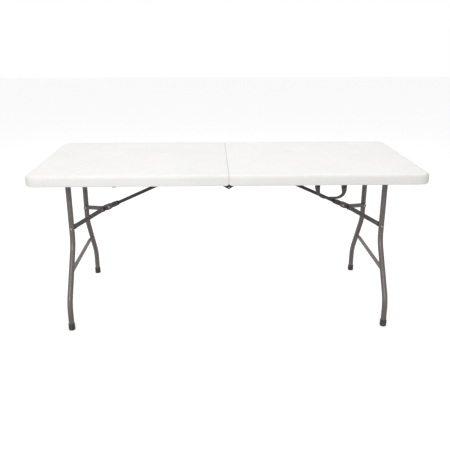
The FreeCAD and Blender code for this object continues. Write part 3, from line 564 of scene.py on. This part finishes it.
def notch_cutter(side, end):
    """Box that frees the hinge ears in the seam wall."""
    low_y, high_y = sorted(end * y for y in HINGE_NOTCH_Y)
    low_x, high_x = sorted((-side * SEAM_OVERRUN, side * HINGE_NOTCH))
    return box_mesh(Vector((low_x, low_y, TOP_LOW.z - SEAM_OVERRUN)), Vector((high_x, high_y, PANEL_UNDER)))


def relief_cutter(side, end):
    """Slanted cut that takes the lower corner off the rim at the seam."""
    size = SEAM_RELIEF * math.sqrt(2)
    bm = box_mesh(Vector((-size / 2, -RELIEF_HALF_LENGTH, -size / 2)),
                  Vector((size / 2, RELIEF_HALF_LENGTH, size / 2)))
    turn = Matrix.Rotation(math.radians(45), 3, "Y")
    bmesh.ops.rotate(bm, cent=(0, 0, 0), matrix=turn, verts=bm.verts)
    bmesh.ops.translate(bm, vec=(side * TOP_LOW.x, end * TOP_HIGH.y, TOP_LOW.z), verts=bm.verts)
    return bm


def spaced(index, count, outer, inner_range):
    """Grid line: the two end lines on the outer limits, the others evenly across the inner range."""
    if index == 0:
        return outer[0]
    if index == count:
        return outer[1]
    share = (index - 1) / (count - 2)
    return inner_range[0] + (inner_range[1] - inner_range[0]) * share


def dimpled_panel(side_name, end_name):
    """Quarter of the underside skin, with its rows of pressed-in dimples."""
    columns = DIMPLE_COLUMNS + 2
    rows = DIMPLE_ROWS + 2
    bm = bmesh.new()
    bmesh.ops.create_grid(bm, x_segments=columns, y_segments=rows, size=1.0)
    for vert in bm.verts:
        i = round((vert.co.x + 1) / 2 * columns)
        j = round((vert.co.y + 1) / 2 * rows)
        vert.co = (spaced(i, columns, PANEL_X, DIMPLE_X), spaced(j, rows, PANEL_Y, DIMPLE_Y), PANEL_UNDER)
    outer_corner = max(bm.verts, key=lambda vert: vert.co.x + vert.co.y)
    outer_corner.co -= Vector((0.0061, 0.0061, 0))
    cells = [f for f in bm.faces if inside_dimples(f.calc_center_median())]
    bmesh.ops.inset_individual(bm, faces=cells, thickness=0.0075, use_even_offset=True)
    for thickness, rise in ((0.0035, DIMPLE_DEPTH), (0.003, 0.0005)):
        bmesh.ops.inset_individual(bm, faces=cells, thickness=thickness, use_even_offset=True)
        for cell in cells:
            bmesh.ops.translate(bm, vec=(0, 0, rise), verts=cell.verts)
    border = [e for e in bm.edges if e.is_boundary]
    walls = bmesh.ops.extrude_edge_only(bm, edges=border)["geom"]
    upper = [v for v in walls if isinstance(v, bmesh.types.BMVert)]
    bmesh.ops.translate(bm, vec=(0, 0, RECESS_ROOF - PANEL_UNDER + 0.001), verts=upper)
    roof = [e for e in bm.edges if e.is_boundary]
    bmesh.ops.edgeloop_fill(bm, edges=roof)
    crease = bm.edges.layers.float.new("crease_edge")
    for edge in bm.edges:
        if edge in border or all(v in upper for v in edge.verts) or tall_wall(edge):
            edge[crease] = 1.0
    bmesh.ops.scale(bm, vec=(SIDES[side_name], ENDS[end_name], 1), verts=bm.verts)
    name = "underside_skin_" + end_name + "_" + side_name
    panel = piece(bm, name, "half_" + side_name, "top_plastic", smooth=50.0)
    rounding = panel.modifiers.new("rounding", "SUBSURF")
    rounding.levels = 2
    rounding.render_levels = 2
    return panel


def tall_wall(edge):
    """True for the upright edges at the panel's border."""
    return abs(edge.verts[0].co.z - edge.verts[1].co.z) > RECESS_ROOF - PANEL_UNDER - 0.001


def inside_dimples(centre):
    """True for a cell in the dimpled field."""
    return DIMPLE_X[0] < centre.x < DIMPLE_X[1] and DIMPLE_Y[0] < centre.y < DIMPLE_Y[1]


def groove_roof(side_name):
    """Middle strip of the underside, stepped up over the brace and its anchor."""
    bm = bmesh.new()
    for low_x, high_x, height in GROOVE_STEPS:
        step = box_mesh(Vector((low_x, -PANEL_Y[0] - 0.0005, height)),
                        Vector((high_x, PANEL_Y[0] + 0.0005, RECESS_ROOF + 0.001)))
        bevel(step, [e for e in step.edges if at_height(e, height)], 0.0008, 2)
        mesh = bpy.data.meshes.new("step")
        step.to_mesh(mesh)
        step.free()
        bm.from_mesh(mesh)
        bpy.data.meshes.remove(mesh)
    bmesh.ops.scale(bm, vec=(SIDES[side_name], 1, 1), verts=bm.verts)
    return piece(bm, "underside_groove_" + side_name, "half_" + side_name, "top_plastic")


# ---- leg frames -------------------------------------------------------------------------------------

def join(meshes):
    """One mesh from several."""
    bm = bmesh.new()
    for part in meshes:
        mesh = bpy.data.meshes.new("part")
        part.to_mesh(mesh)
        part.free()
        bm.from_mesh(mesh)
        bpy.data.meshes.remove(mesh)
    return bm


def foot_mesh(centre):
    """Grooved foot cup round the end of a leg tube."""
    profile = list(FOOT_SOLE)
    groove_in, groove_out, groove_end = FOOT_GROOVE_STEPS
    for ring in range(FOOT_GROOVES):
        base = FOOT_GROOVE_START + ring * FOOT_GROOVE_PITCH
        profile += [(FOOT_RADIUS, base), (FOOT_GROOVE_RADIUS, base + groove_in)]
        profile += [(FOOT_GROOVE_RADIUS, base + groove_out), (FOOT_RADIUS, base + groove_end)]
    profile += FOOT_MOUTH
    bm = bmesh.new()
    verts = [bm.verts.new((radius, 0, height)) for radius, height in profile]
    edges = [bm.edges.new(pair) for pair in zip(verts, verts[1:])]
    bmesh.ops.spin(bm, geom=verts + edges, cent=(0, 0, 0), axis=(0, 0, 1), dvec=(0, 0, 0),
                   angle=math.tau, steps=48, use_merge=True, use_duplicate=False)
    bmesh.ops.remove_doubles(bm, verts=bm.verts, dist=1e-6)
    bmesh.ops.translate(bm, vec=centre, verts=bm.verts)
    return bm


def foot_pair(side_name):
    """Both foot cups of one leg frame."""
    low, high = (Vector(corner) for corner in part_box("foot_caps_" + side_name))
    x = (low.x + high.x) / 2
    reach = high.y - (high.x - low.x) / 2
    meshes = [foot_mesh(Vector((x, end * reach, 0))) for end in ENDS.values()]
    return piece(join(meshes), "foot_cups_" + side_name, "leg_" + side_name, "foot_plastic",
                 "foot_caps_" + side_name)


def weld_bead(centre, axis, radius, width, saddle=0.0):
    """Lumpy weld ring round a tube; a saddle follows the round tube that it meets."""
    bm = bmesh.new()
    made = bmesh.ops.create_circle(bm, cap_ends=False, segments=8, radius=width)["verts"]
    upright = Matrix.Rotation(math.radians(90), 3, "X")
    bmesh.ops.rotate(bm, cent=(0, 0, 0), matrix=upright, verts=made)
    bmesh.ops.translate(bm, vec=(radius, 0, 0), verts=made)
    bmesh.ops.spin(bm, geom=bm.verts[:] + bm.edges[:], cent=(0, 0, 0), axis=(0, 0, 1), dvec=(0, 0, 0),
                   angle=math.tau, steps=72, use_merge=True, use_duplicate=False)
    bmesh.ops.remove_doubles(bm, verts=bm.verts, dist=1e-7)
    for vert in bm.verts:
        angle = math.atan2(vert.co.y, vert.co.x)
        ripple = 1 + sum(size * math.sin(count * angle + phase) for size, count, phase in WELD_RIPPLES)
        across = radius * math.cos(angle)
        lift = saddle - math.sqrt(max(saddle ** 2 - across ** 2, 0)) if saddle else 0.0
        vert.co = Vector((vert.co.x * ripple, vert.co.y * ripple, vert.co.z + lift))
    turn = Vector((0, 0, 1)).rotation_difference(axis).to_matrix()
    bmesh.ops.rotate(bm, cent=(0, 0, 0), matrix=turn, verts=bm.verts)
    bmesh.ops.translate(bm, vec=centre, verts=bm.verts)
    return bm


def weld_tack(centre):
    """Rounded lump of weld where the inboard edge of a crossbar end meets its leg tube."""
    bm = bmesh.new()
    bmesh.ops.create_uvsphere(bm, u_segments=20, v_segments=12, radius=1.0)
    bmesh.ops.scale(bm, vec=TACK_SIZE, verts=bm.verts)
    bmesh.ops.translate(bm, vec=centre, verts=bm.verts)
    return bm


def leg_welds(side_name):
    """Welds of one leg frame: leg tubes under the pivot tube, tacks where the crossbar meets the legs."""
    pivot_low, pivot_high = (Vector(corner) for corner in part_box("leg_pivot_tube_" + side_name))
    leg_low, leg_high = (Vector(corner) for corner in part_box("leg_tube_rear_" + side_name))
    bar_low, bar_high = (Vector(corner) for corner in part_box("leg_crossbar_" + side_name))
    x = (pivot_low.x + pivot_high.x) / 2
    pivot_radius = (pivot_high.z - pivot_low.z) / 2
    pivot_z = (pivot_high.z + pivot_low.z) / 2
    tube_radius = (leg_high.x - leg_low.x) / 2
    upper_y = leg_low.y + tube_radius
    bar_inboard = min(bar_low.x, bar_high.x, key=abs)
    meshes = []
    for end in ENDS.values():
        centre = Vector((x, end * upper_y, pivot_z - pivot_radius))
        meshes.append(weld_bead(centre, Vector((0, 0, 1)), tube_radius + WELD_LIFT, WELD_WIDTH, pivot_radius))
        meshes.append(weld_tack(Vector((bar_inboard, end * bar_high.y, (bar_low.z + bar_high.z) / 2))))
    return piece(join(meshes), "frame_welds_" + side_name, "leg_" + side_name, "frame_steel", smooth=60.0)


# ---- handle -----------------------------------------------------------------------------------------

def grip_ribs():
    """Fine raised bands round the lower bar of the carry handle."""
    low, high = (Vector(corner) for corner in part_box("carry_handle"))
    middle = (low.x + high.x) / 2
    bands = []
    for index in range(-RIB_COUNT, RIB_COUNT + 1):
        x = middle + index * RIB_PITCH
        far_y = low.y + GRIP_DEPTH + RIB_RISE
        top_z = low.z + GRIP_HEIGHT + RIB_RISE
        band = box_mesh(Vector((x - RIB_WIDTH / 2, low.y - RIB_RISE, low.z - RIB_RISE / 2)),
                        Vector((x + RIB_WIDTH / 2, far_y, top_z)))
        lengthwise = [e for e in band.edges if abs(e.verts[0].co.x - e.verts[1].co.x) > RIB_WIDTH / 2]
        bevel(band, lengthwise, GRIP_ROUND, 4)
        rims = [e for e in band.edges if close(e.verts[0].co.x, e.verts[1].co.x)]
        bevel(band, rims, RIB_RISE * 0.8, 2)
        bands.append(band)
    return piece(join(bands), "handle_grip_ribs", "carry_handle", "handle_plastic")


# ---- stage ------------------------------------------------------------------------------------------

def add_area(name, place, target, size, power):
    """Soft square light aimed at a point."""
    data = bpy.data.lights.new(name, "AREA")
    data.shape = "RECTANGLE"
    data.size, data.size_y = size
    data.energy = power
    light = bpy.data.objects.new(name, data)
    bpy.context.scene.collection.objects.link(light)
    aim = (Vector(target) - Vector(place)).to_track_quat("-Z", "Y")
    light.location = place
    light.rotation_euler = aim.to_euler()


def add_camera():
    """Camera a little left of the middle, above the top, looking slightly down."""
    yaw, pitch, roll = (math.radians(angle) for angle in (1.461, 18.904, -0.043))
    forward = Vector((math.sin(yaw) * math.cos(pitch), math.cos(yaw) * math.cos(pitch), -math.sin(pitch)))
    level = Vector((math.cos(yaw), -math.sin(yaw), 0))
    above = level.cross(forward)
    right = level * math.cos(roll) + above * math.sin(roll)
    up = above * math.cos(roll) - level * math.sin(roll)
    data = bpy.data.cameras.new("camera")
    data.sensor_width = 36.0
    data.lens = 46.123
    data.clip_start = 0.05
    camera = bpy.data.objects.new("camera", data)
    bpy.context.scene.collection.objects.link(camera)
    basis = Matrix((right, up, -forward)).transposed().to_4x4()
    camera.matrix_world = Matrix.Translation((-0.077, -2.723, 1.325)) @ basis
    bpy.context.scene.camera = camera


def add_stage():
    """Pale floor, even pale surroundings and soft lights."""
    bm = bmesh.new()
    bmesh.ops.create_grid(bm, x_segments=1, y_segments=1, size=14.0)
    mesh = bpy.data.meshes.new("floor")
    bm.to_mesh(mesh)
    bm.free()
    floor = bpy.data.objects.new("floor", mesh)
    bpy.context.scene.collection.objects.link(floor)
    paper = floor_paper()
    mesh.materials.append(paper)
    bpy.context.scene.world = studio_walls()
    for name, place, target, size, power in LIGHTS:
        add_area(name, place, target, size, power)
    bpy.context.scene.view_settings.view_transform = "Standard"


def floor_paper():
    """Pale paper that shows no strong shadow; seen from below it lets the view through."""
    paper = bpy.data.materials.new("floor_paper")
    paper.use_nodes = True
    tree = paper.node_tree
    shader = next(n for n in tree.nodes if n.type == "BSDF_PRINCIPLED")
    output = next(n for n in tree.nodes if n.type == "OUTPUT_MATERIAL")
    shader.inputs["Base Color"].default_value = (*FLOOR_GREY, 1.0)
    shader.inputs["Roughness"].default_value = 0.9
    shader.inputs["Specular IOR Level"].default_value = 0.1
    shader.inputs["Emission Color"].default_value = (1.0, 1.0, 1.0, 1.0)
    rays = tree.nodes.new("ShaderNodeLightPath")
    glow = math_node(tree, "MULTIPLY", rays.outputs["Is Camera Ray"], FLOOR_GLOW)
    tree.links.new(glow, shader.inputs["Emission Strength"])
    clear = tree.nodes.new("ShaderNodeBsdfTransparent")
    surface = tree.nodes.new("ShaderNodeNewGeometry")
    mix = tree.nodes.new("ShaderNodeMixShader")
    tree.links.new(surface.outputs["Backfacing"], mix.inputs["Fac"])
    tree.links.new(shader.outputs["BSDF"], mix.inputs[1])
    tree.links.new(clear.outputs["BSDF"], mix.inputs[2])
    tree.links.new(mix.outputs["Shader"], output.inputs["Surface"])
    return paper


def studio_walls():
    """White surroundings that light the table less than they show."""
    world = bpy.data.worlds.new("studio")
    world.use_nodes = True
    tree = world.node_tree
    sky = next(n for n in tree.nodes if n.type == "BACKGROUND")
    sky.inputs["Color"].default_value = (1.0, 1.0, 1.0, 1.0)
    rays = tree.nodes.new("ShaderNodeLightPath")
    strength = remap(tree, rays.outputs["Is Camera Ray"], 0.0, 1.0, WALL_LIGHT, 1.0)
    tree.links.new(strength, sky.inputs["Strength"])
    return world


add_camera()
finish_cad_nodes()
for side in SIDES:
    moulded_half(SIDES[side])
    groove_roof(side)
    for end in ENDS:
        dimpled_panel(side, end)
    foot_pair(side)
    leg_welds(side)
grip_ribs()
add_stage()
